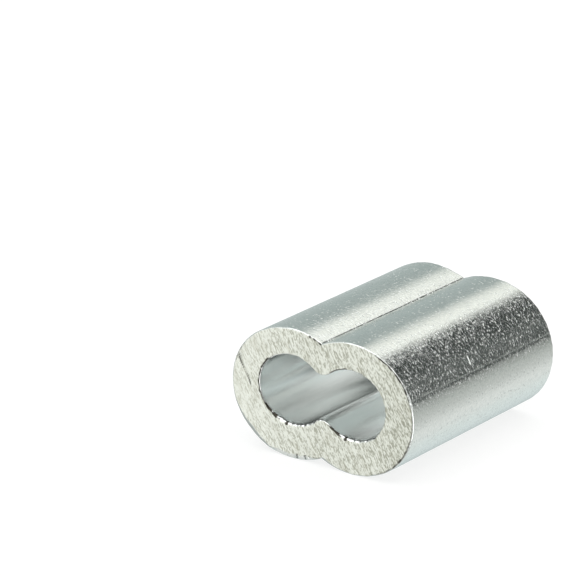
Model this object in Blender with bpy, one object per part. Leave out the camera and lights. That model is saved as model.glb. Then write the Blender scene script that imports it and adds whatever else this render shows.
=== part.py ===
"""Hourglass ferrule: a double-barrel aluminium sleeve that is crimped onto wire rope.

The rope passes through one barrel, turns back as an eye and returns through the other.
The sleeve is one sawn length of extrusion, so it is one solid.

Frame: X across the two barrels, Y along the extrusion, Z up. The sleeve lies on its two
barrels, and the origin is at the centre of its bounding box's underside.
"""
import math

import bmesh
import bpy

MM = 0.001

# Outside of the extrusion
WIDTH = 21.0 * MM            # across both barrels
THICKNESS = 13.0 * MM        # over the crown of a barrel
LENGTH = 23.5 * MM           # between the sawn ends
GROOVE_THICKNESS = 11.46 * MM    # between the bottoms of the two V grooves
CROWN_OFFSET = 3.4 * MM      # from the middle to the highest line of a barrel
END_ROUNDING = 0.25 * MM     # tumbled corner round each end face

# Rope passage, for two strands of 6 mm rope
ROPE_DIAMETER = 6.0 * MM
ROPE_CLEARANCE = 0.85 * MM
BORE_HEIGHT = ROPE_DIAMETER + ROPE_CLEARANCE
BORE_WIDTH = 14.5 * MM
BORE_NECK = 4.5 * MM         # between the two inner ridges
BORE_CROWN_OFFSET = 3.45 * MM
BORE_CROWN_RADIUS = 4.15 * MM
BORE_LIFT = 0.4 * MM         # the passage sits this far above the middle of the section

# Segments of the arcs in each quarter of an outline, and of the rounding of an end
RIDGE_STEPS = 4
INNER_CROWN_STEPS = 5
OUTER_CROWN_STEPS = 3
FLANK_STEPS = 12
END_ROUNDING_STEPS = 2

SMOOTH_LIMIT = math.radians(30)


def clear_scene():
    for item in list(bpy.data.objects):
        bpy.data.objects.remove(item, do_unlink=True)


def arc(centre, radius, start, end, steps):
    """Points of an arc; its angles run from +Z towards +X, and the first point is left out."""
    points = []
    for i in range(1, steps + 1):
        angle = start + (end - start) * i / steps
        points.append((centre[0] + radius * math.sin(angle),
                       centre[1] + radius * math.cos(angle)))
    return points


def crown_radius_for(half_height, half_neck, crown_offset):
    """Radius of the crown arc that also passes through the bottom of the V groove."""
    drop = half_height - half_neck
    return (crown_offset ** 2 + drop ** 2) / (2 * drop)


def flank_arc(half_width, half_height, crown_offset, crown_radius):
    """The arc that joins the crown arc tangentially and turns vertical at the side.

    Returns its centre distance from the middle, its radius and the angle of the joint.
    """
    rise = crown_radius - half_height
    reach = crown_offset + crown_radius - half_width
    ratio = reach / rise
    joint = 2 * math.atan((1 - ratio) / (1 + ratio))
    gap = rise / math.cos(joint)
    return crown_offset + gap * math.sin(joint), crown_radius - gap, joint


def crown_and_flank(half_width, half_height, crown_offset, crown_radius,
                    start, inner_steps, inset=0.0):
    """From the crown arc's start angle over the crown and down the flank to mid height."""
    crown_centre = (crown_offset, half_height - crown_radius)
    side_x, side_radius, joint = flank_arc(half_width, half_height, crown_offset, crown_radius)
    points = arc(crown_centre, crown_radius - inset, start, 0, inner_steps)
    points += arc(crown_centre, crown_radius - inset, 0, joint, OUTER_CROWN_STEPS)
    points += arc((side_x, 0), side_radius - inset, joint, math.pi / 2, FLANK_STEPS)
    return points


def outer_quarter(inset):
    """Upper right quarter of the outside, moved inwards by inset; the groove is a sharp V."""
    half_height = THICKNESS / 2
    radius = crown_radius_for(half_height, GROOVE_THICKNESS / 2, CROWN_OFFSET)
    groove = -math.asin(CROWN_OFFSET / (radius - inset))
    groove_z = half_height - radius + (radius - inset) * math.cos(groove)
    return [(0.0, groove_z)] + crown_and_flank(
        WIDTH / 2, half_height, CROWN_OFFSET, radius,
        groove, RIDGE_STEPS + INNER_CROWN_STEPS, inset)


def bore_quarter():
    """Upper right quarter of the rope passage; the ridge between the barrels is rounded."""
    half_height, half_neck = BORE_HEIGHT / 2, BORE_NECK / 2
    neck_above_crown_centre = half_neck - (half_height - BORE_CROWN_RADIUS)
    ridge_radius = ((BORE_CROWN_OFFSET ** 2 + neck_above_crown_centre ** 2
                     - BORE_CROWN_RADIUS ** 2)
                    / (2 * (BORE_CROWN_RADIUS - neck_above_crown_centre)))
    meet = math.atan2(BORE_CROWN_OFFSET, neck_above_crown_centre + ridge_radius)
    ridge = arc((0, half_neck + ridge_radius), ridge_radius,
                math.pi, math.pi - meet, RIDGE_STEPS)
    return [(0.0, half_neck)] + ridge + crown_and_flank(
        BORE_WIDTH / 2, half_height, BORE_CROWN_OFFSET, BORE_CROWN_RADIUS,
        -meet, INNER_CROWN_STEPS)


def full_outline(quarter, middle_z):
    """Mirror a quarter into a closed outline, anticlockwise in X and Z from the right side."""
    top = quarter[::-1] + [(-x, z) for x, z in quarter[1:]]
    bottom = [(x, -z) for x, z in reversed(top[1:-1])]
    return [(x, z + middle_z) for x, z in top + bottom]


def add_ring(mesh, outline, y):
    return [mesh.verts.new((x, y, z)) for x, z in outline]


def skin(mesh, rings):
    """Quads between each ring and the next; all rings have the same number of points."""
    for ring, following in zip(rings, rings[1:]):
        count = len(ring)
        for i in range(count):
            j = (i + 1) % count
            mesh.faces.new((ring[i], ring[j], following[j], following[i]))


def sleeve_mesh():
    """Rings along the outside from the front end to the rear, back through the bore."""
    middle_z = THICKNESS / 2
    bore = full_outline(bore_quarter(), middle_z + BORE_LIFT)
    mesh = bmesh.new()
    front, rear = [], []
    for i in range(END_ROUNDING_STEPS + 1):
        turn = math.pi / 2 * i / END_ROUNDING_STEPS
        inset = END_ROUNDING * (1 - math.sin(turn))
        y = LENGTH / 2 - END_ROUNDING * (1 - math.cos(turn))
        outline = full_outline(outer_quarter(inset), middle_z)
        front.append(add_ring(mesh, outline, -y))
        rear.append(add_ring(mesh, outline, y))
    bore_rear = add_ring(mesh, bore, LENGTH / 2)
    bore_front = add_ring(mesh, bore, -LENGTH / 2)
    skin(mesh, front + rear[::-1] + [bore_rear, bore_front, front[0]])
    bmesh.ops.recalc_face_normals(mesh, faces=mesh.faces)
    data = bpy.data.meshes.new("ferrule_sleeve")
    mesh.to_mesh(data)
    mesh.free()
    data.shade_smooth()
    data.set_sharp_from_angle(angle=SMOOTH_LIMIT)
    return data


def aluminium():
    material = bpy.data.materials.new("tumbled_aluminium")
    material.use_nodes = True
    shader = material.node_tree.nodes["Principled BSDF"]
    shader.inputs["Base Color"].default_value = (0.80, 0.81, 0.80, 1)
    shader.inputs["Metallic"].default_value = 1.0
    shader.inputs["Roughness"].default_value = 0.3
    return material


def build():
    clear_scene()
    data = sleeve_mesh()
    data.materials.append(aluminium())
    sleeve = bpy.data.objects.new("ferrule_sleeve", data)
    bpy.context.scene.collection.objects.link(sleeve)


build()
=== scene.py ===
"""Looks of the hourglass ferrule, an aluminium sleeve crimped onto wire rope.

The sleeve is a sawn, tumbled length of extrusion. Its larger marks are real geometry: worn
end corners, nicks, dings, the scratch, the gouge, and waves of 0.4 mm or more on the
barrels and the ends. Finer grain is left to the materials. Lengths are in millimetres
until a mesh or a node needs metres.
"""
import math

import bpy
import numpy as np
from mathutils import Matrix, Vector


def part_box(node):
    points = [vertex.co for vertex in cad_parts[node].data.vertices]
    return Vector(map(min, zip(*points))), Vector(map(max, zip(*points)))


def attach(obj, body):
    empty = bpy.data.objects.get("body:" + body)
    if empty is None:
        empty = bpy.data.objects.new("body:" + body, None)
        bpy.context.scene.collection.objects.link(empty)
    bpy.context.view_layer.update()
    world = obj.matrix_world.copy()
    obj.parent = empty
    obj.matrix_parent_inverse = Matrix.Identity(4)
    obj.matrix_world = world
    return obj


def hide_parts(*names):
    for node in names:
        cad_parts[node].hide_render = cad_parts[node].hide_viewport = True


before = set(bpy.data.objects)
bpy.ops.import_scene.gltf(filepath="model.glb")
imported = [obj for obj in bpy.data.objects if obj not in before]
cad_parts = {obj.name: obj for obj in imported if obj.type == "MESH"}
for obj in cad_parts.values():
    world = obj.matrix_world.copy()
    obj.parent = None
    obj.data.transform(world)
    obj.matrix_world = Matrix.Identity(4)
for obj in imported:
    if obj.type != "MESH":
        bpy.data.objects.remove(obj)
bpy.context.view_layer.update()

MM = 0.001
SLEEVE_NODE = "ferrule_sleeve"
LOW, HIGH = (np.array(corner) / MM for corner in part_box(SLEEVE_NODE))
WIDTH, LENGTH, THICKNESS = HIGH - LOW
HALF_LENGTH = LENGTH / 2
MIDDLE_Z = THICKNESS / 2

# Section of the extrusion, as in the CAD model
GROOVE_THICKNESS = 11.46
CROWN_OFFSET = 3.4
BORE_HEIGHT = 6.85
BORE_WIDTH = 14.5
BORE_NECK = 4.5
BORE_CROWN_OFFSET = 3.45
BORE_CROWN_RADIUS = 4.15
BORE_LIFT = 0.4

# Edges left by the saw and by tumbling
FRONT_ROUNDING = 0.10
REAR_ROUNDING = 0.22
END_MARGIN = 0.50            # the barrels' rows start this far from the ends
BORE_EDGE = 0.095
CREASE_NOTCH = 0.026         # sharp line along the bottom of the groove
CREASE_WIDTH = 0.05
CREASE_FILL = 0.026          # how much the left barrel flattens towards it
FILL_WIDTH = 0.62
LIP_LENGTH = 1.2             # how far along the barrels the front lip reaches
NICK_DEPTH = 0.06            # extra rounding at a nick in the rim
TORN_DEPTH = 0.07            # extra width of the bore's corner where it is deeply torn
DEEPLY_TORN = 0.9
BURR_LIMIT = 0.3             # there is no burr where the edge is torn more than this
BEVEL_SHARE = 0.8            # how flat a full burr makes the bore's corner
BEVEL_DEPTH = 0.7            # how much deeper it makes it, as a share
HEAVY_RIM_DARKENING = 0.8             # rim darkening above this also darkens the face beside the rim
LAST_STEP = 0.03             # gap from an end's rounding to the ring that closes it off

# Round the front rim, in degrees from the top towards +X: extra rounding, how far the
# lip stands out, extra reach across the face, darkening at the rim, and painted shade on the
# rounding
FRONT_WEAR = [(-180, 0.0), (-160, 0.05), (-140, 0.27), (-122, 0.16), (-100, 0.0), (8, 0.0),
              (25, -0.045), (55, -0.045), (72, 0.05), (110, 0.05), (150, 0.0), (180, 0.0)]
FRONT_LIP = [(-180, 0.0), (-165, 0.03), (-143, 0.13), (-115, 0.03), (-100, 0.0), (180, 0.0)]
FRONT_BEVEL = [(-180, 0.0), (-166, 0.03), (-140, 0.24), (-118, 0.05), (-100, 0.0), (180, 0.0)]
RIM_DARKENING = [(-180, 0.0), (-78, 0.0), (-70, 0.5), (-55, 0.5), (-45, 0.0), (14, 0.0), (24, 1.0),
            (60, 1.0), (74, 0.5), (110, 0.65), (130, 0.9), (158, 0.4), (180, 0.0)]
RIM_SHADE = [(-180, 0.0), (-160, 0.36), (-115, 0.36), (-95, 0.0), (180, 0.0)]

# Unevenness round an end: base level, share and size of each random wave, least and most
ROUNDING_VARIES = (1.0, ((0.14, 1.1), (0.12, 6.0)), 0.5, 1.4)
BORE_EDGE_VARIES = (1.0, ((0.25, 0.9), (0.15, 5.0)), 0.5, 1.8)
TORN_VARIES = (1.6, ((0.5, 0.5),), 0.0, 1.0)
RIM_DARKENING_VARIES = (0.9, ((0.3, 0.8),), 0.0, 1.0)
BURR_VARIES = (0.9, ((0.6, 0.45),), 0.0, 1.0)

# Mesh density
AROUND = 256                 # points round each outline, a multiple of four
ARC_POINTS = 400             # points of an arc, before the outline is spread again
CROWDING = 3.0               # extra density of points at a crowded angle
CROWDED_WIDTH = 0.2
OUTSIDE_ROWS = 204           # steps along the barrels between the end corners
CLOSE_STEP = 0.03            # gap between the extra rows through the largest ding
BORE_ROWS = 40
FACE_ROWS = 46
CORNER_ROWS = 5
BORE_CORNER_ROWS = 5
SKIN, FACE, BORE = 0, 1, 2   # material slots of the mesh

# Relief, all cut inwards from the CAD surface
MEAN_DEPTH = 0.006           # mean depth, so that no bump stands proud
WAVE_SPREAD = 0.4            # how far waves stray from their size, as a share
# Height, then size along the barrels and round them
SKIN_WAVES = ((0.0007, 0.42, 0.75), (0.0008, 0.9, 1.3), (0.0020, 3.5, 3.0))
DIE_WAVES = (0.0006, 0.7)    # faint lines drawn out along the barrels: height and size
BORE_LINES = ((0.0004, 0.55), (0.0008, 1.6))     # the same, for the bore
BORE_WAVES = (0.0006, 9.0, 0.8)  # in the same order as SKIN_WAVES
# Size and height of the waves on the sawn ends
SAW_WAVES = ((4.1, 0.0022), (2.3, 0.0016), (1.35, 0.0012), (0.83, 0.0009))
DIE_LINE = math.radians(69.7)    # where a die scratch runs along the right barrel
SCRATCH_DEPTH = 0.013
SCRATCH_VARIES = 0.003
SCRATCH_WIDTH = 0.11
SAW_DIRECTION = np.array([0.4875, -0.8731])

# Scattered dings on the barrels: count, half widths, depths, and how long they may be
SCATTERED_DINGS = [(260, (0.13, 0.22), (0.001, 0.005), 2.4),
                   (20, (0.20, 0.36), (0.004, 0.011), 2.5)]

# Single dings on the barrels: side, degrees from the top, Y, half length, half width, depth
DINGS = [(1, 59.2, -1.55, 0.60, 0.095, 0.042), (1, 3.2, -6.4, 0.15, 0.10, 0.012),
         (1, 11.9, 3.6, 0.15, 0.10, 0.010), (-1, 18.0, -8.7, 0.20, 0.09, 0.012),
         (1, 63.5, 7.3, 0.18, 0.08, 0.020), (1, 44.0, 4.5, 0.16, 0.08, 0.018),
         (1, 95.9, -7.9, 0.14, 0.12, 0.010), (1, 101.5, -8.1, 0.10, 0.10, 0.008)]

# Damage on the front end, with painted shade and painted highlights at the bore's edge: places
# in X and Z, sizes, and how strong. BORE_WEAR and WORN_FOOT give millimetres of extra corner
# instead.
# dark spots at the bore's edge: torn metal, and painted shade in the groove beside the burrs
TORN_AND_SHADED_EDGES = [((-5.9, 4.4), 1.35, 1.0), ((1.5, 3.95), 1.0, 1.0), ((-4.1, 3.4), 0.3, 1.0),
              ((2.75, 3.4), 0.3, 1.0), ((-7.0, 7.4), 3.2, 0.88), ((-5.7, 10.0), 0.3, 0.8),
              ((1.9, 10.0), 1.4, 0.75)]
RIM_NICKS = [((-1.35, 12.63), 0.22, 1.0), ((-0.85, 12.5), 0.15, 1.0), ((-0.35, 12.3), 0.13, 1.0),
             ((-10.3, 6.3), 0.25, 0.3), ((-4.4, 0.3), 0.2, 0.8), ((-2.9, 0.1), 0.2, 0.8),
             ((-1.9, 0.3), 0.25, 0.9)]
BORE_WEAR = [((-2.9, 3.5), 3.2, 0.15), ((4.3, 3.1), 3.0, 0.14), ((-7.2, 7.4), 2.6, 0.07),
             ((-6.3, 9.6), 2.0, 0.07), ((-4.0, 10.3), 2.4, 0.05)]
# burrs at the bore's edge: real bevels, also painted bright as a painted highlight of the lit
# chamfer
BURRS_AND_HIGHLIGHTS = [((-3.2, 3.4), 2.6, 1.0), ((-0.6, 4.5), 1.4, 1.0), ((4.3, 3.1), 3.2, 1.0),
         ((7.0, 5.6), 1.6, 0.5), ((3.4, 10.6), 1.8, 0.6)]
WORN_FOOT = [((-3.3, 0.0), 3.0, 0.30)]                   # worn flat under the left barrel, painted bright with a painted sheen
BORE_LIP_SHADE = [((-1.6, 4.3), 2.2, 0.7)]                     # painted shade: a dark line just inside the bore
STAINS = [((-9.65, 9.0), 0.55, 0.30), ((-9.35, 8.3), 0.45, 0.20), ((-8.7, 7.1), 0.50, 0.14),
          ((-9.5, 9.9), 0.60, 0.12)]
GOUGE = [(-9.75, 9.25, 0.5), (-9.6, 8.7, 1.2), (-9.2, 7.95, 0.8), (-8.95, 7.6, 0.4),
         (-8.6, 7.0, 0.9), (-8.35, 6.4, 1.0)]               # X, Z and strength along it
GOUGE_DEPTH = 0.035
GOUGE_WIDTH = 0.07
GOUGE_DARKNESS = 1.2
DARKEST_MARK = 0.9

# Camera, at the photographed angle
CAMERA_AZIMUTH = math.radians(36.8)
CAMERA_ELEVATION = math.radians(19.3)
CAMERA_DISTANCE = 365.0
CAMERA_LENS = 244.4
SENSOR_WIDTH = 36.0
CAMERA_AIM = (3.13, -10.61)  # the front end's centre, right of and above the picture's middle

rng = np.random.default_rng(11)


# ---------------------------------------------------------------- section

def arc(centre, radius, start, end):
    """Points of an arc; angles run from +Z towards +X."""
    angle = np.linspace(start, end, ARC_POINTS)
    return np.column_stack([centre[0] + radius * np.sin(angle),
                            centre[1] + radius * np.cos(angle)])


def crown_and_flank(half_width, half_height, crown_offset, crown_radius, start):
    """From the crown arc's start angle over the crown and down the flank to mid height."""
    rise = crown_radius - half_height
    ratio = (crown_offset + crown_radius - half_width) / rise
    joint = 2 * math.atan((1 - ratio) / (1 + ratio))
    gap = rise / math.cos(joint)
    crown = arc((crown_offset, half_height - crown_radius), crown_radius, start, joint)
    flank = arc((crown_offset + gap * math.sin(joint), 0), crown_radius - gap,
                joint, math.pi / 2)
    return np.vstack([crown, flank[1:]])


def outer_quarter():
    """The outside from the bottom of the groove to mid height on the right."""
    drop = (THICKNESS - GROOVE_THICKNESS) / 2
    radius = (CROWN_OFFSET ** 2 + drop ** 2) / (2 * drop)
    return crown_and_flank(WIDTH / 2, THICKNESS / 2, CROWN_OFFSET, radius,
                           -math.asin(CROWN_OFFSET / radius))


def bore_quarter():
    """The bore from its neck to mid height on the right, about the bore's own centre."""
    neck = BORE_NECK / 2
    above = neck - (BORE_HEIGHT / 2 - BORE_CROWN_RADIUS)
    ridge_radius = ((BORE_CROWN_OFFSET ** 2 + above ** 2 - BORE_CROWN_RADIUS ** 2)
                    / (2 * (BORE_CROWN_RADIUS - above)))
    meet = math.atan2(BORE_CROWN_OFFSET, above + ridge_radius)
    ridge = arc((0, neck + ridge_radius), ridge_radius, math.pi, math.pi - meet)
    rest = crown_and_flank(BORE_WIDTH / 2, BORE_HEIGHT / 2, BORE_CROWN_OFFSET,
                           BORE_CROWN_RADIUS, -meet)
    return np.vstack([ridge, rest[1:]])


def outline(quarter, lift=0.0, crowded=()):
    """Mirror a quarter and spread AROUND points, closer together at the crowded angles.

    Returns the points, from mid height on the right over the top and back underneath,
    their outward normals, and how far round the outline each point lies.
    """
    step = np.hypot(*np.diff(quarter, axis=0).T)
    run = np.concatenate([[0], np.cumsum(step)])
    facing = np.arctan2(-np.gradient(quarter[:, 1]), np.gradient(quarter[:, 0]))
    density = np.ones(len(run))
    for angle in crowded:
        away = (run - np.interp(angle, facing, run)) / CROWDED_WIDTH
        density += CROWDING * np.exp(-away ** 2)
    share = np.concatenate([[0], np.cumsum(step * (density[1:] + density[:-1]) / 2)])
    at = np.interp(np.linspace(0, share[-1], AROUND // 4 + 1), share, run)
    q = np.column_stack([np.interp(at, run, quarter[:, 0]), np.interp(at, run, quarter[:, 1])])
    top = np.vstack([q[::-1], q[1:] * [-1, 1]])
    points = np.vstack([top, top[::-1][1:-1] * [1, -1]])
    along = np.roll(points, -1, 0) - np.roll(points, 1, 0)
    along /= np.hypot(*along.T)[:, None]
    normals = np.column_stack([along[:, 1], -along[:, 0]])
    gaps = np.hypot(*np.diff(points, axis=0).T)
    return points + [0, MIDDLE_Z + lift], normals, np.concatenate([[0], np.cumsum(gaps)])


# ---------------------------------------------------------------- relief

def waves(rows, columns, row_step, column_step, row_size, column_size):
    """Random height field of unit deviation with waves of about the given sizes in mm."""
    field = np.fft.rfft2(rng.standard_normal((rows, columns)))
    across = np.fft.fftfreq(rows, row_step)[:, None] * row_size
    along = np.fft.rfftfreq(columns, column_step)[None, :] * column_size
    field *= np.exp(-0.5 * ((np.hypot(across, along) - 1) / WAVE_SPREAD) ** 2)
    height = np.fft.irfft2(field, s=(rows, columns))
    return height / height.std()


def round_waves(perimeter, size):
    """Random waves of unit deviation round an outline."""
    return waves(1, AROUND, 1.0, perimeter / AROUND, 1.0, size)[0]


def uneven(perimeter, base, parts, least, most):
    """A base level varied round an outline by random waves of given shares and sizes."""
    level = sum((share * round_waves(perimeter, size) for share, size in parts), base)
    return np.clip(level, least, most)


def ding(height, y, run, place, half_length, half_width, depth, turn=0.0):
    """Press one round-bottomed ding, long round the barrel, deeper at one side."""
    perimeter = run[-1] + run[1]
    near = np.flatnonzero(np.abs(y - place[0]) < half_length)
    ds = (run - place[1] + perimeter / 2) % perimeter - perimeter / 2
    by = np.flatnonzero(np.abs(ds) < half_length)
    dy = (y[near] - place[0])[:, None]
    dx = ds[by][None, :]
    p = (dx * math.cos(turn) + dy * math.sin(turn)) / half_length
    q = (dy * math.cos(turn) - dx * math.sin(turn)) / half_width
    inside = np.clip(1 - p ** 2 - q ** 2, 0, 1)
    height[np.ix_(near, by)] -= depth * inside ** 1.5 * (1 + 0.5 * q)


def scattered_dings(height, y, run, count, sizes, depths, stretch):
    """Press dings at random places, turned a little either way."""
    for _ in range(count):
        place = rng.uniform(-HALF_LENGTH, HALF_LENGTH), rng.uniform(0, run[-1])
        half_width = rng.uniform(*sizes)
        ding(height, y, run, place, half_width * rng.uniform(1, stretch), half_width,
             rng.uniform(*depths), rng.normal(0, 0.5))


def round_rim(stops, facing):
    """Value that changes round the rim, from stops in degrees from the top towards +X."""
    degrees, values = zip(*stops)
    return np.interp(np.degrees(facing), degrees, values)


def resample(height, old, new, period=None):
    """Heights read off at new places along each row."""
    return np.array([np.interp(new, old, row, period=period) for row in height])


def skin_relief(y, run, facing):
    """Depth of the tumbled skin at each row and point, zero or negative."""
    perimeter = run[-1] + run[1]
    even_y = np.linspace(y[0], y[-1], OUTSIDE_ROWS + 1)
    even_run = np.arange(AROUND) * perimeter / AROUND
    rows, row_step, step = len(even_y), even_y[1] - even_y[0], even_run[1]
    height = np.zeros((rows, AROUND))
    for size, size_along, size_round in SKIN_WAVES:
        height += size * waves(rows, AROUND, row_step, step, size_along, size_round)
    height += DIE_WAVES[0] * round_waves(perimeter, DIE_WAVES[1])[None, :]
    for dings in SCATTERED_DINGS:
        scattered_dings(height, even_y, even_run, *dings)
    height = resample(height, even_run, run, perimeter)
    height = resample(height.T, even_y, y).T

    # the single dings, and the scratch left by the die
    upper = np.arange(AROUND) <= AROUND // 2
    for side, degrees, place_y, half_length, half_width, depth in DINGS:
        away = np.abs(facing - side * math.radians(degrees))
        place = place_y, run[int(np.argmin(np.where(upper == (degrees <= 90), away, 9)))]
        ding(height, y, run, place, half_length, half_width, depth)
    scratch = run - np.interp(-DIE_LINE, -facing[:AROUND // 4], run[:AROUND // 4])
    deep = SCRATCH_DEPTH + SCRATCH_VARIES * waves(1, len(y), 1.0, row_step, 1.0, 2.0)[0]
    height -= deep[:, None] * np.exp(-(scratch / SCRATCH_WIDTH) ** 2)[None, :]
    height = np.minimum(height - MEAN_DEPTH, 0)

    # the line along the bottom of the groove, and the lip at the front
    crease = run - run[AROUND // 4]
    fill = CREASE_FILL * np.clip(1 - crease / FILL_WIDTH, 0, 1) ** 2
    height += np.where(crease < 0, 0, fill)
    height -= CREASE_NOTCH * np.exp(-(crease / CREASE_WIDTH) ** 2)
    lip = np.exp(-((y + HALF_LENGTH) / LIP_LENGTH) ** 2)
    return height + lip[:, None] * round_rim(FRONT_LIP, facing)[None, :]


def saw_waves(side):
    """The saw's waves on one end face, as a function of points in X and Z."""
    parts = [(size, depth, *rng.uniform(0, 2 * math.pi, 3)) for size, depth in SAW_WAVES]

    def depth_at(points):
        """Depth at each point. Every wave's line bends twice, slowly, on its way across."""
        along = points @ SAW_DIRECTION
        across = points @ np.array([-SAW_DIRECTION[1], SAW_DIRECTION[0]])
        height = np.full(len(points), -MEAN_DEPTH)
        for size, depth, turn, bend, swing in parts:
            height += depth * np.sin(2 * math.pi * across / size + turn
                                     + 1.1 * np.sin(0.31 * along + bend)
                                     + 0.6 * np.sin(0.83 * along + swing))
        if side < 0:
            height -= GOUGE_DEPTH * gouge_mask(points)
        return np.minimum(height, 0)
    return depth_at


def spot_mask(points, spots):
    """A spot's strength at its middle, falling to zero at its radius."""
    mask = np.zeros(len(points))
    for centre, radius, strength in spots:
        away = np.hypot(*(points - centre).T) / radius
        mask = np.maximum(mask, strength * (1 - smooth_step(0.55, 1.0, away)))
    return mask


def gouge_mask(points):
    """How strong the gouge in the front face is, fading across its width."""
    mask = np.zeros(len(points))
    for start, end in zip(GOUGE, GOUGE[1:]):
        way = np.subtract(end, start)
        t = np.clip((points - start[:2]) @ way[:2] / (way[:2] @ way[:2]), 0, 1)
        away = np.hypot(*(points - start[:2] - t[:, None] * way[:2]).T)
        strength = (start[2] + t * way[2]) * np.exp(-(away / GOUGE_WIDTH) ** 2)
        mask = np.maximum(mask, strength)
    return mask


def smooth_step(low, high, value):
    t = np.clip((value - low) / (high - low), 0, 1)
    return t * t * (3 - 2 * t)


def end_rings(side, outer, outer_normal, outer_run, skin, bore, bore_normal, bore_run):
    """Rings of one end, from the bore's edge out to the barrels.

    Each has its points in X and Z, their Y, its material, and the wear and painted light at each
    point:
    above zero for dark torn metal, nicks, stains, the gouge, a darker rim and painted shade,
    below zero for bright burrs and painted sheen.
    """
    facing = np.arctan2(*outer_normal.T)
    rounding = FRONT_ROUNDING if side < 0 else REAR_ROUNDING
    rounding = rounding * uneven(outer_run[-1], *ROUNDING_VARIES)
    edge = BORE_EDGE * uneven(bore_run[-1], *BORE_EDGE_VARIES)
    bitten = uneven(bore_run[-1], *TORN_VARIES)
    reach = rounding
    if side < 0:
        rounding = rounding + round_rim(FRONT_WEAR, facing)
        nicks = spot_mask(outer, RIM_NICKS)
        rounding += NICK_DEPTH * nicks
        foot = spot_mask(outer, WORN_FOOT)
        reach = rounding + round_rim(FRONT_BEVEL, facing) + foot
        # painted sheen makes the worn flat bright, except at the nicks
        painted_sheen = foot / WORN_FOOT[0][2] * (nicks == 0)
        # the rim is darker in places round it
        rim_darkening = round_rim(RIM_DARKENING, facing) * uneven(outer_run[-1], *RIM_DARKENING_VARIES)
        # dark marks at the bore's edge: torn metal, and painted shade in the groove beside the
        # burrs
        wear_and_painted_light = spot_mask(bore, TORN_AND_SHADED_EDGES) * bitten
        edge += TORN_DEPTH * (wear_and_painted_light > DEEPLY_TORN) + spot_mask(bore, BORE_WEAR)
        # painted shade: a dark line just inside the bore
        lip = spot_mask(bore, BORE_LIP_SHADE)
        # burrs bevel the edge and are painted bright, a painted highlight of the lit chamfer
        burr_and_highlight = spot_mask(bore, BURRS_AND_HIGHLIGHTS) * (wear_and_painted_light < BURR_LIMIT) * uneven(bore_run[-1], *BURR_VARIES)
        # painted shade darkens the front rim's rounding
        shade = round_rim(RIM_SHADE, facing)
    else:
        nicks = rim_darkening = shade = painted_sheen = wear_and_painted_light = lip = burr_and_highlight = np.zeros(AROUND)
    depth_at = saw_waves(side)
    inner = bore + bore_normal * edge[:, None]
    outside = skin - outer_normal * reach[:, None]
    rings = []
    # the bore's corner is round, and flattened to a bevel where there is a burr
    bevel, deep = BEVEL_SHARE * burr_and_highlight, edge * (1 + BEVEL_DEPTH * burr_and_highlight)
    for k, turn in enumerate(np.linspace(0, math.pi / 2, BORE_CORNER_ROWS + 1)[:-1]):
        straight = turn / (math.pi / 2)
        across = edge * ((1 - bevel) * (1 - math.cos(turn)) + bevel * straight)
        down = deep * ((1 - bevel) * (1 - math.sin(turn)) + bevel * (1 - straight))
        by_the_face = k > BORE_CORNER_ROWS // 2
        # bore's corner: torn metal and painted shade on the face side, lightened by the burrs'
        # painted highlight, and a painted dark line on the bore side
        wear_shade_and_sheen = (wear_and_painted_light - burr_and_highlight) * by_the_face + lip * (k == 0)
        wear_shade_and_sheen += wear_and_painted_light * (wear_and_painted_light > DEEPLY_TORN) * (k > 0 and not by_the_face)
        rings.append((bore + bore_normal * across[:, None],
                      side * (HALF_LENGTH - MEAN_DEPTH - down), BORE, wear_shade_and_sheen))
    for k, t in enumerate(np.linspace(0, 1, FACE_ROWS + 1)):
        ring = inner + (outside - inner) * t
        from_rim = FACE_ROWS - k
        # the face's edge by the bore gets the same torn metal, painted shade and painted
        # highlight; the face's edge by the rim is darkened
        wear_shade_and_sheen = (wear_and_painted_light - burr_and_highlight) * (k == 0)
        wear_shade_and_sheen += np.maximum(nicks, rim_darkening) * (from_rim <= 1)
        wear_shade_and_sheen += HEAVY_RIM_DARKENING * (rim_darkening > HEAVY_RIM_DARKENING) * (from_rim == 2)
        if side < 0:
            marks = np.maximum(spot_mask(ring, STAINS), GOUGE_DARKNESS * gouge_mask(ring))
            wear_shade_and_sheen = np.maximum(wear_shade_and_sheen, np.minimum(marks, DARKEST_MARK))
        rings.append((ring, side * (HALF_LENGTH + depth_at(ring)), FACE, wear_shade_and_sheen))
    for k, turn in enumerate(np.linspace(0, math.pi / 2, CORNER_ROWS + 1)[1:]):
        ring = skin - outer_normal * (reach * (1 - math.sin(turn)))[:, None]
        y = HALF_LENGTH - MEAN_DEPTH - rounding * (1 - math.cos(turn))
        # the rounding: nicks, a darker rim and painted shade; the worn foot's painted sheen
        # lightens it
        wear_shade_and_sheen = np.maximum(np.maximum(nicks * (k <= CORNER_ROWS // 2), rim_darkening * (k == 0)), shade)
        wear_shade_and_sheen = wear_shade_and_sheen * (1 - painted_sheen) - painted_sheen
        rings.append((ring, side * y, SKIN, wear_shade_and_sheen))
    # one more ring close by, so that the rounding does not shade into the barrel
    rings.append((ring, side * (y - LAST_STEP), SKIN, np.zeros(AROUND)))
    return rings


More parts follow.
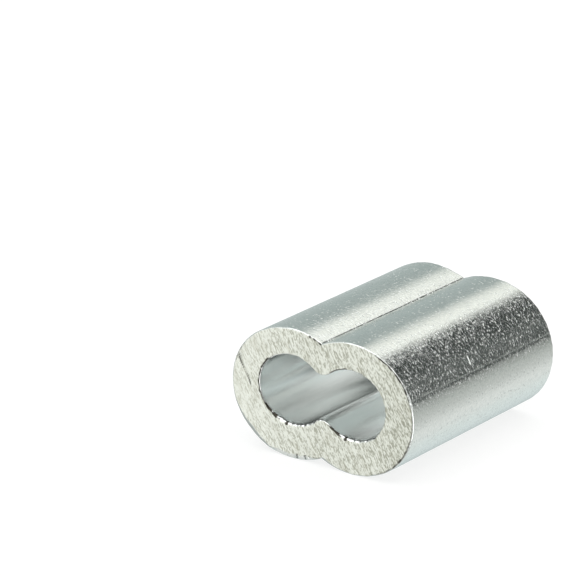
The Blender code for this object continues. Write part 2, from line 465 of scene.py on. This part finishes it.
def build_sleeve():
    """The sleeve as one closed mesh: rings through the front end, back along the outside,
    through the rear end and forward again through the bore."""
    outer, outer_normal, outer_run = outline(outer_quarter(), 0.0, (-math.pi / 2, DIE_LINE))
    bore, bore_normal, bore_run = outline(bore_quarter(), BORE_LIFT)
    reach = HALF_LENGTH - END_MARGIN
    straight = np.linspace(-reach, reach, OUTSIDE_ROWS + 1)
    close = [DINGS[0][2] + k * CLOSE_STEP for k in range(-3, 4)]
    straight = np.sort(np.concatenate([straight, close]))
    relief = skin_relief(straight, outer_run, np.arctan2(*outer_normal.T))
    bore_y = np.linspace(1, -1, BORE_ROWS + 1)[1:-1] * (HALF_LENGTH - BORE_EDGE)
    draw_lines = sum(size * round_waves(bore_run[-1], width) for size, width in BORE_LINES)
    size, size_along, size_round = BORE_WAVES
    bore_relief = draw_lines + size * waves(BORE_ROWS - 1, AROUND, LENGTH / BORE_ROWS,
                                            bore_run[-1] / AROUND, size_along, size_round)

    def end(side):
        skin = outer + outer_normal * relief[0 if side < 0 else -1][:, None]
        return end_rings(side, outer, outer_normal, outer_run, skin,
                         bore, bore_normal, bore_run)

    clean = np.zeros(AROUND)
    rings = end(-1)
    rings += [(outer + outer_normal * relief[k][:, None], y, SKIN, clean)
              for k, y in enumerate(straight)]
    rings += reversed(end(1))
    rings += [(bore + bore_normal * bore_relief[k][:, None], y, BORE, clean)
              for k, y in enumerate(bore_y)]

    around = np.arange(AROUND)
    following = np.roll(around, -1)
    faces, indices = [], []
    for k, ring in enumerate(rings):
        last = (k + 1) % len(rings)
        a, b = k * AROUND, last * AROUND
        faces.append(np.column_stack([a + around, a + following, b + following, b + around]))
        indices += [min(ring[2], rings[last][2])] * AROUND
    points = np.vstack([np.column_stack([r[0][:, 0], np.broadcast_to(r[1], AROUND), r[0][:, 1]])
                        for r in rings])
    mesh = bpy.data.meshes.new("sleeve")
    mesh.from_pydata((points * MM).tolist(), [], np.vstack(faces).tolist())
    mesh.polygons.foreach_set("material_index", indices)
    mesh.shade_smooth()
    mesh.validate()
    ends = np.empty(2 * len(mesh.edges), int)
    mesh.edges.foreach_get("vertices", ends)
    sharp = np.all(ends.reshape(-1, 2) % AROUND == AROUND // 4, axis=1)
    mesh.attributes.new("sharp_edge", "BOOLEAN", "EDGE").data.foreach_set("value", sharp)
    # point attribute of wear and painted light: dark torn metal, darker rim and painted shade,
    # bright burrs and painted sheen
    wear_and_painted_light = mesh.attributes.new("wear_and_painted_light", "FLOAT", "POINT")
    wear_and_painted_light.data.foreach_set("value", np.concatenate([r[3] for r in rings]).astype(np.float32))
    piece = bpy.data.objects.new("sleeve_finish", mesh)
    bpy.context.scene.collection.objects.link(piece)
    return piece


# ---------------------------------------------------------------- materials

# Colours of bare metal, of what lies on it, and of painted shade and painted sheen
DARK_WEAR_AND_SHADE_COLOUR = (0.06, 0.055, 0.045)
BURR_AND_SHEEN_COLOUR = (1.0, 1.0, 0.98)
SKIN_DULL, SKIN_BRIGHT = (0.80, 0.83, 0.81), (0.88, 0.90, 0.88)
FURROW_LEFT, FURROW = (0.74, 0.74, 0.66), (0.62, 0.62, 0.54)
STREAK = (0.99, 1.0, 0.93)
SAW_BAND = (0.60, 0.58, 0.48)
FACE_DARK_TONE = (0.60, 0.60, 0.56)
SPECK = (1.0, 1.0, 0.97)
BORE_DULL, BORE_BRIGHT = (0.955, 0.975, 0.965), (0.98, 0.99, 0.985)

# Bump heights
GRAIN_HEIGHT = 0.0074
CURL_DEPTH = 0.004
STROKE_DEPTH = 0.0105
PIT_DEPTH = 0.040
FINE_HEIGHT = 0.004
STREAK_HEIGHT = 0.040
SPECK_HEIGHT = 0.008
LINE_HEIGHT = 0.002


class Nodes:
    """A node tree with short calls for the nodes that the materials and the world use."""

    def __init__(self, tree):
        self.tree = tree

    def put(self, value, socket):
        """Link an output to a socket, or set the socket to a number or a colour."""
        if isinstance(value, bpy.types.NodeSocket):
            self.tree.links.new(value, socket)
        elif isinstance(value, tuple) and len(value) == 3 and socket.type == "RGBA":
            socket.default_value = (*value, 1)
        else:
            socket.default_value = value

    def math(self, operation, first, second=0.0, third=0.0):
        """One step of arithmetic."""
        node = self.tree.nodes.new("ShaderNodeMath")
        node.operation = operation
        for value, socket in zip((first, second, third), node.inputs):
            self.put(value, socket)
        return node.outputs[0]

    def rise(self, value, low, high, start=0.0, end=1.0):
        """Smooth rise from start to end as the value goes from low to high."""
        node = self.tree.nodes.new("ShaderNodeMapRange")
        node.interpolation_type = "SMOOTHSTEP"
        for name, number in (("From Min", low), ("From Max", high),
                             ("To Min", start), ("To Max", end)):
            node.inputs[name].default_value = number
        self.put(value, node.inputs["Value"])
        return node.outputs["Result"]

    def mix(self, factor, first, second, blend="MIX"):
        """The first colour at a factor of 0, the second at 1."""
        node = self.tree.nodes.new("ShaderNodeMix")
        node.data_type = "RGBA"
        node.blend_type = blend
        sockets = [s for s in node.inputs if s.type == "RGBA"]
        self.put(factor, node.inputs["Factor"])
        self.put(first, sockets[0])
        self.put(second, sockets[1])
        return next(s for s in node.outputs if s.type == "RGBA")

    def place(self, scale, rotation=(0, 0, 0)):
        """Object coordinates in mm, turned and then scaled."""
        turn = self.tree.nodes.new("ShaderNodeMapping")
        turn.inputs["Rotation"].default_value = rotation
        turn.inputs["Scale"].default_value = [1 / MM] * 3
        where = self.tree.nodes.new("ShaderNodeTexCoord").outputs["Object"]
        self.put(where, turn.inputs["Vector"])
        stretch = self.tree.nodes.new("ShaderNodeVectorMath")
        stretch.operation = "MULTIPLY"
        self.put(turn.outputs["Vector"], stretch.inputs[0])
        stretch.inputs[1].default_value = scale
        return stretch.outputs["Vector"]

    def x_and_z(self):
        """Place across the section in mm."""
        split = self.tree.nodes.new("ShaderNodeSeparateXYZ")
        self.put(self.place((1, 1, 1)), split.inputs[0])
        return split.outputs["X"], split.outputs["Z"]

    def noise(self, where, detail=2.0, roughness=0.5, distortion=0.0):
        """Smooth noise from 0 to 1, one grain to a unit of place."""
        node = self.tree.nodes.new("ShaderNodeTexNoise")
        self.put(where, node.inputs["Vector"])
        node.inputs["Scale"].default_value = 1.0
        node.inputs["Detail"].default_value = detail
        node.inputs["Roughness"].default_value = roughness
        node.inputs["Distortion"].default_value = distortion
        return node.outputs["Fac"]

    def curled(self, where, amount):
        """The same place pushed about a little by noise."""
        node = self.tree.nodes.new("ShaderNodeTexNoise")
        self.put(where, node.inputs["Vector"])
        node.inputs["Scale"].default_value = 1.3
        node.inputs["Detail"].default_value = 0.0
        push = self.tree.nodes.new("ShaderNodeVectorMath")
        push.operation = "MULTIPLY_ADD"
        self.put(node.outputs["Color"], push.inputs[0])
        push.inputs[1].default_value = [2 * amount] * 3
        self.put(where, push.inputs[2])
        return push.outputs["Vector"]

    def cells(self, where):
        """Distance to the nearest cell centre, and a random number for each cell."""
        node = self.tree.nodes.new("ShaderNodeTexVoronoi")
        self.put(where, node.inputs["Vector"])
        node.inputs["Scale"].default_value = 1.0
        node.inputs["Randomness"].default_value = 1.0
        split = self.tree.nodes.new("ShaderNodeSeparateColor")
        self.put(node.outputs["Color"], split.inputs[0])
        return node.outputs["Distance"], split.outputs[0]

    def add_wear_and_painted_light(self, colour):
        """Colour with the marks of the point attribute: dark torn metal, darker rim and painted
        shade, bright burrs and painted sheen.
        """
        node = self.tree.nodes.new("ShaderNodeAttribute")
        node.attribute_name = "wear_and_painted_light"
        amount = node.outputs["Fac"]
        # bright burrs and painted sheen, then dark torn metal, darker rim and painted shade
        colour = self.mix(self.rise(amount, -1.0, -0.2, 1.0, 0.0), colour, BURR_AND_SHEEN_COLOUR)
        return self.mix(self.rise(amount, 0.0, 1.0), colour, DARK_WEAR_AND_SHADE_COLOUR)

    def bump(self, height):
        """A bump whose height is in mm."""
        node = self.tree.nodes.new("ShaderNodeBump")
        node.inputs["Distance"].default_value = MM
        self.put(height, node.inputs["Height"])
        return node.outputs["Normal"]


def metal(name):
    """A new metal material, its shader and its nodes."""
    material = bpy.data.materials.new(name)
    material.use_nodes = True
    shader = material.node_tree.nodes["Principled BSDF"]
    shader.inputs["Metallic"].default_value = 1.0
    return material, shader, Nodes(material.node_tree)


def tumbled_skin():
    """Bright, finely dinged surface of the barrels."""
    material, shader, n = metal("tumbled_aluminium")
    # marks are short along the barrels and longer round them
    grain = n.noise(n.place((4.2, 7.2, 4.2)), detail=2.0, roughness=0.6)
    curl = n.rise(n.noise(n.place((3.6, 6.4, 3.6)), detail=1.0, distortion=1.0), 0.50, 0.68)
    distance, pick = n.cells(n.curled(n.place((2.1, 6.2, 2.1)), 0.30))
    stroke = n.rise(distance, 0.08, 0.42, 1.0, 0.0)
    stroke = n.math("MULTIPLY", stroke, n.rise(pick, 0.50, 0.95))
    distance, pick = n.cells(n.place((3.5, 5.0, 3.5)))
    pit = n.rise(distance, 0.10, 0.42, 1.0, 0.0)
    pit = n.math("MULTIPLY", pit, n.rise(pick, 0.68, 0.95))
    height = n.math("MULTIPLY", grain, GRAIN_HEIGHT)
    height = n.math("SUBTRACT", height, n.math("MULTIPLY", curl, CURL_DEPTH))
    height = n.math("SUBTRACT", height, n.math("MULTIPLY", stroke, STROKE_DEPTH))
    # the grain is full on the left barrel, and half as deep along the top of the right one
    x, z = n.x_and_z()
    calm = n.math("MAXIMUM", n.rise(z, 12.45, 12.85, 1.0, 0.5), n.rise(x, -0.2, 0.2, 1.0, 0.0))
    height = n.math("MULTIPLY", height, calm)
    height = n.math("SUBTRACT", height, n.math("MULTIPLY", pit, PIT_DEPTH))
    fine = n.noise(n.place((8.0, 9.0, 8.0)), detail=0.0)
    height = n.math("MULTIPLY_ADD", fine, FINE_HEIGHT, height)
    n.put(n.bump(height), shader.inputs["Normal"])
    patch = n.noise(n.place((0.5, 0.35, 0.5)), detail=3.0)
    n.put(n.rise(patch, 0.3, 0.7, 0.15, 0.20), shader.inputs["Roughness"])
    colour = n.mix(n.rise(grain, 0.35, 0.65), SKIN_DULL, SKIN_BRIGHT)
    n.put(n.add_wear_and_painted_light(colour), shader.inputs["Base Color"])
    return material


def sawn_face():
    """Matt end face with short broken streaks along the saw's path."""
    material, shader, n = metal("sawn_aluminium")
    turn = (0, -math.atan2(-SAW_DIRECTION[1], SAW_DIRECTION[0]), 0)
    coarse = n.noise(n.place((1.3, 1.0, 5.0), turn), detail=1.0)
    fine = n.noise(n.place((1.7, 1.0, 9.5), turn), detail=1.0)
    grain = n.noise(n.place((4.4, 1.0, 11.0), turn), detail=0.0)
    streaks = n.math("ADD", n.math("MULTIPLY", coarse, 0.34), n.math("MULTIPLY", fine, 0.36))
    streaks = n.math("MULTIPLY_ADD", grain, 0.30, streaks)
    bands = n.noise(n.place((0.35, 1.0, 1.8), turn), detail=2.0)
    distance, pick = n.cells(n.place((2.0, 1.0, 6.0), turn))
    speck = n.math("MULTIPLY", n.rise(distance, 0.12, 0.35, 1.0, 0.0), n.rise(pick, 0.70, 0.9))
    x = n.x_and_z()[0]
    low = n.mix(n.rise(x, -9.5, -5.0), FURROW_LEFT, FURROW)
    colour = n.mix(n.rise(streaks, 0.40, 0.55), low, STREAK)
    colour = n.mix(n.rise(bands, 0.50, 0.75, 0.0, 0.30), colour, SAW_BAND)
    # the face darkens a little towards the right
    darker_side = n.math("ADD", n.rise(x, -9.0, 0.0, 0.0, 0.23), n.rise(x, 5.0, 10.5, 0.0, 0.27))
    darker_side = n.math("MULTIPLY", darker_side, n.rise(streaks, 0.38, 0.58, 1.6, 0.7))
    colour = n.mix(darker_side, colour, FACE_DARK_TONE, "MULTIPLY")
    colour = n.mix(speck, colour, SPECK)
    n.put(n.add_wear_and_painted_light(colour), shader.inputs["Base Color"])
    n.put(n.rise(streaks, 0.3, 0.7, 0.52, 0.36), shader.inputs["Roughness"])
    height = n.math("MULTIPLY", streaks, STREAK_HEIGHT)
    height = n.math("ADD", height, n.math("MULTIPLY", speck, SPECK_HEIGHT))
    n.put(n.bump(height), shader.inputs["Normal"])
    return material


def drawn_bore():
    """Smooth bore with fine lines drawn out along it."""
    material, shader, n = metal("drawn_aluminium")
    lines = n.noise(n.place((3.2, 0.07, 3.2)), detail=3.0, roughness=0.6)
    n.put(n.bump(n.math("MULTIPLY", lines, LINE_HEIGHT)), shader.inputs["Normal"])
    n.put(n.rise(lines, 0.3, 0.7, 0.225, 0.240), shader.inputs["Roughness"])
    colour = n.mix(n.rise(lines, 0.35, 0.65), BORE_DULL, BORE_BRIGHT)
    n.put(n.add_wear_and_painted_light(colour), shader.inputs["Base Color"])
    return material


# ---------------------------------------------------------------- studio

CLIP_START = 0.01            # this and the floor's size are in metres
FLOOR_SIZE = 4.0
FLOOR_COLOUR = (0.3, 0.3, 0.3)
FLOOR_GLOW = 0.72
FLOOR_ROUGHNESS = 0.9


def make_camera():
    """The photographed view, looking down on the front end from the right."""
    data = bpy.data.cameras.new("camera")
    data.lens = CAMERA_LENS
    data.sensor_width = SENSOR_WIDTH
    data.clip_start = CLIP_START
    camera = bpy.data.objects.new("camera", data)
    bpy.context.scene.collection.objects.link(camera)
    a, e = CAMERA_AZIMUTH, CAMERA_ELEVATION
    right = Vector((math.cos(a), math.sin(a), 0))
    up = Vector((-math.sin(a) * math.sin(e), math.cos(a) * math.sin(e), math.cos(e)))
    back = Vector((math.sin(a) * math.cos(e), -math.cos(a) * math.cos(e), math.sin(e)))
    start = Vector((0, -HALF_LENGTH, MIDDLE_Z))
    place = start - right * CAMERA_AIM[0] - up * CAMERA_AIM[1] + back * CAMERA_DISTANCE
    turn = Matrix((right, up, back)).transposed().to_4x4()
    camera.matrix_world = Matrix.Translation(place * MM) @ turn
    bpy.context.scene.camera = camera


def make_floor():
    """Plain pale floor, bright mostly from its own glow, so that its shadow stays faint.

    The sleeve does not mirror it.
    """
    bpy.ops.mesh.primitive_plane_add(size=FLOOR_SIZE)
    floor = bpy.context.object
    floor.name = "floor"
    material = bpy.data.materials.new("floor")
    material.use_nodes = True
    shader = material.node_tree.nodes["Principled BSDF"]
    shader.inputs["Base Color"].default_value = (*FLOOR_COLOUR, 1)
    shader.inputs["Roughness"].default_value = FLOOR_ROUGHNESS
    shader.inputs["Emission Color"].default_value = (1, 1, 1, 1)
    shader.inputs["Emission Strength"].default_value = FLOOR_GLOW
    floor.data.materials.append(material)
    floor.visible_glossy = False


# Light round the sleeve's axis: degrees from straight up towards +X, and linear colour.
# The first set is what the barrels mirror towards the camera, the second lies beside it,
# and the third is square to the sleeve.
MIRRORED = [(-180, (0.75, 0.82, 0.81)), (-160, (0.70, 0.77, 0.77)), (-145, (0.56, 0.63, 0.63)),
            (-122, (0.52, 0.60, 0.59)), (-100, (0.51, 0.57, 0.56)), (-75, (0.41, 0.47, 0.46)),
            (-44, (0.36, 0.41, 0.40)), (-29, (0.95, 0.96, 0.90)), (-13, (1.02, 1.03, 0.97)),
            (-3, (0.08, 0.09, 0.085)), (6, (0.028, 0.033, 0.031)), (36, (0.045, 0.052, 0.049)),
            (60, (0.098, 0.107, 0.102)), (86, (0.068, 0.075, 0.072)), (93, (0.36, 0.38, 0.36)),
            (112, (0.53, 0.55, 0.53)), (145, (0.80, 0.82, 0.80)), (180, (0.75, 0.82, 0.81))]
BESIDE = [(-180, (0.75, 0.78, 0.77)), (-90, (0.50, 0.54, 0.52)), (-50, (0.60, 0.64, 0.62)),
          (-30, (1.0, 1.0, 1.0)), (10, (1.7, 1.7, 1.7)), (50, (1.9, 1.9, 1.9)),
          (84, (1.4, 1.4, 1.4)), (95, (0.55, 0.57, 0.56)), (180, (0.75, 0.78, 0.77))]
ACROSS = [(-180, (0.70, 0.73, 0.72)), (-90, (0.48, 0.52, 0.50)), (-50, (0.66, 0.70, 0.68)),
          (0, (0.95, 0.96, 0.94)), (50, (0.80, 0.81, 0.79)), (84, (0.55, 0.56, 0.55)),
          (100, (0.45, 0.47, 0.46)), (180, (0.70, 0.73, 0.72))]
BEHIND = (0.27, 0.255, 0.235)
CAMERA_SIDE = Vector((0.48, -0.75, 0.45))    # where the dim room behind the camera is
ROOM = (0.12, 0.12, 0.12)
CARD_SIDE = Vector((0.75, -0.57, -0.33))     # a white card low on the right, in front
CARD = (2.2, 2.2, 2.2)
TOP_LIGHT = (2.1, 2.1, 2.1)                  # a bright ring round a softer zenith
ZENITH = (0.92, 0.94, 0.92)
FRONT_LIGHT = (1.25, 1.27, 1.24)
FRONT_LOW = (0.45, 0.45, 0.43)


def make_world():
    """A soft studio whose bands run along the sleeve, with light above and in front."""
    world = bpy.data.worlds.new("studio")
    bpy.context.scene.world = world
    world.use_nodes = True
    n = Nodes(world.node_tree)
    split = n.tree.nodes.new("ShaderNodeSeparateXYZ")
    where = n.tree.nodes.new("ShaderNodeTexCoord").outputs["Generated"]
    n.put(where, split.inputs[0])
    x, y, z = split.outputs
    turn = n.math("MULTIPLY_ADD", n.math("ARCTAN2", x, z), 1 / (2 * math.pi), 0.5)

    def bands(stops):
        """Colour for each direction round the axis; halved in the ramp, which stops at 1."""
        ramp = n.tree.nodes.new("ShaderNodeValToRGB")
        ramp.color_ramp.interpolation = "EASE"
        elements = ramp.color_ramp.elements
        elements.remove(elements[-1])
        for i, (degrees, colour) in enumerate(stops):
            element = elements[0] if i == 0 else elements.new((degrees + 180) / 360)
            element.position = (degrees + 180) / 360
            element.color = (*(c / 2 for c in colour), 1)
        n.put(turn, ramp.inputs["Fac"])
        double = n.tree.nodes.new("ShaderNodeVectorMath")
        double.operation = "SCALE"
        double.inputs["Scale"].default_value = 2.0
        n.put(ramp.outputs["Color"], double.inputs[0])
        return double.outputs["Vector"]

    # y is 0 square to the sleeve, 1 straight behind it and -1 straight in front
    light = n.mix(n.rise(y, 0.05, 0.25), bands(ACROSS), bands(BESIDE))
    light = n.mix(n.rise(y, 0.50, 0.64), light, bands(MIRRORED))
    light = n.mix(n.rise(y, 0.90, 0.96), light, BEHIND)
    front = n.mix(n.rise(z, -0.75, -0.10), FRONT_LOW, FRONT_LIGHT)
    light = n.mix(n.rise(y, -0.80, -0.50, 1.0, 0.0), light, front)
    light = n.mix(n.rise(z, 0.70, 0.80), light, TOP_LIGHT)
    light = n.mix(n.rise(z, 0.89, 0.96), light, ZENITH)
    for side, low, high, colour in ((CARD_SIDE, 0.88, 0.94, CARD),
                                    (CAMERA_SIDE, 0.88, 0.95, ROOM)):
        toward = n.tree.nodes.new("ShaderNodeVectorMath")
        toward.operation = "DOT_PRODUCT"
        n.put(where, toward.inputs[0])
        toward.inputs[1].default_value = side.normalized()
        light = n.mix(n.rise(toward.outputs["Value"], low, high), light, colour)
    # the camera itself sees plain white
    seen = n.tree.nodes.new("ShaderNodeLightPath").outputs["Is Camera Ray"]
    light = n.mix(seen, light, (1.0, 1.0, 1.0))
    n.put(light, world.node_tree.nodes["Background"].inputs["Color"])


sleeve = build_sleeve()
for material in (tumbled_skin(), sawn_face(), drawn_bore()):
    sleeve.data.materials.append(material)
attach(sleeve, "root")
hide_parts(SLEEVE_NODE)
make_floor()
make_world()
make_camera()
bpy.context.scene.view_settings.view_transform = "Standard"
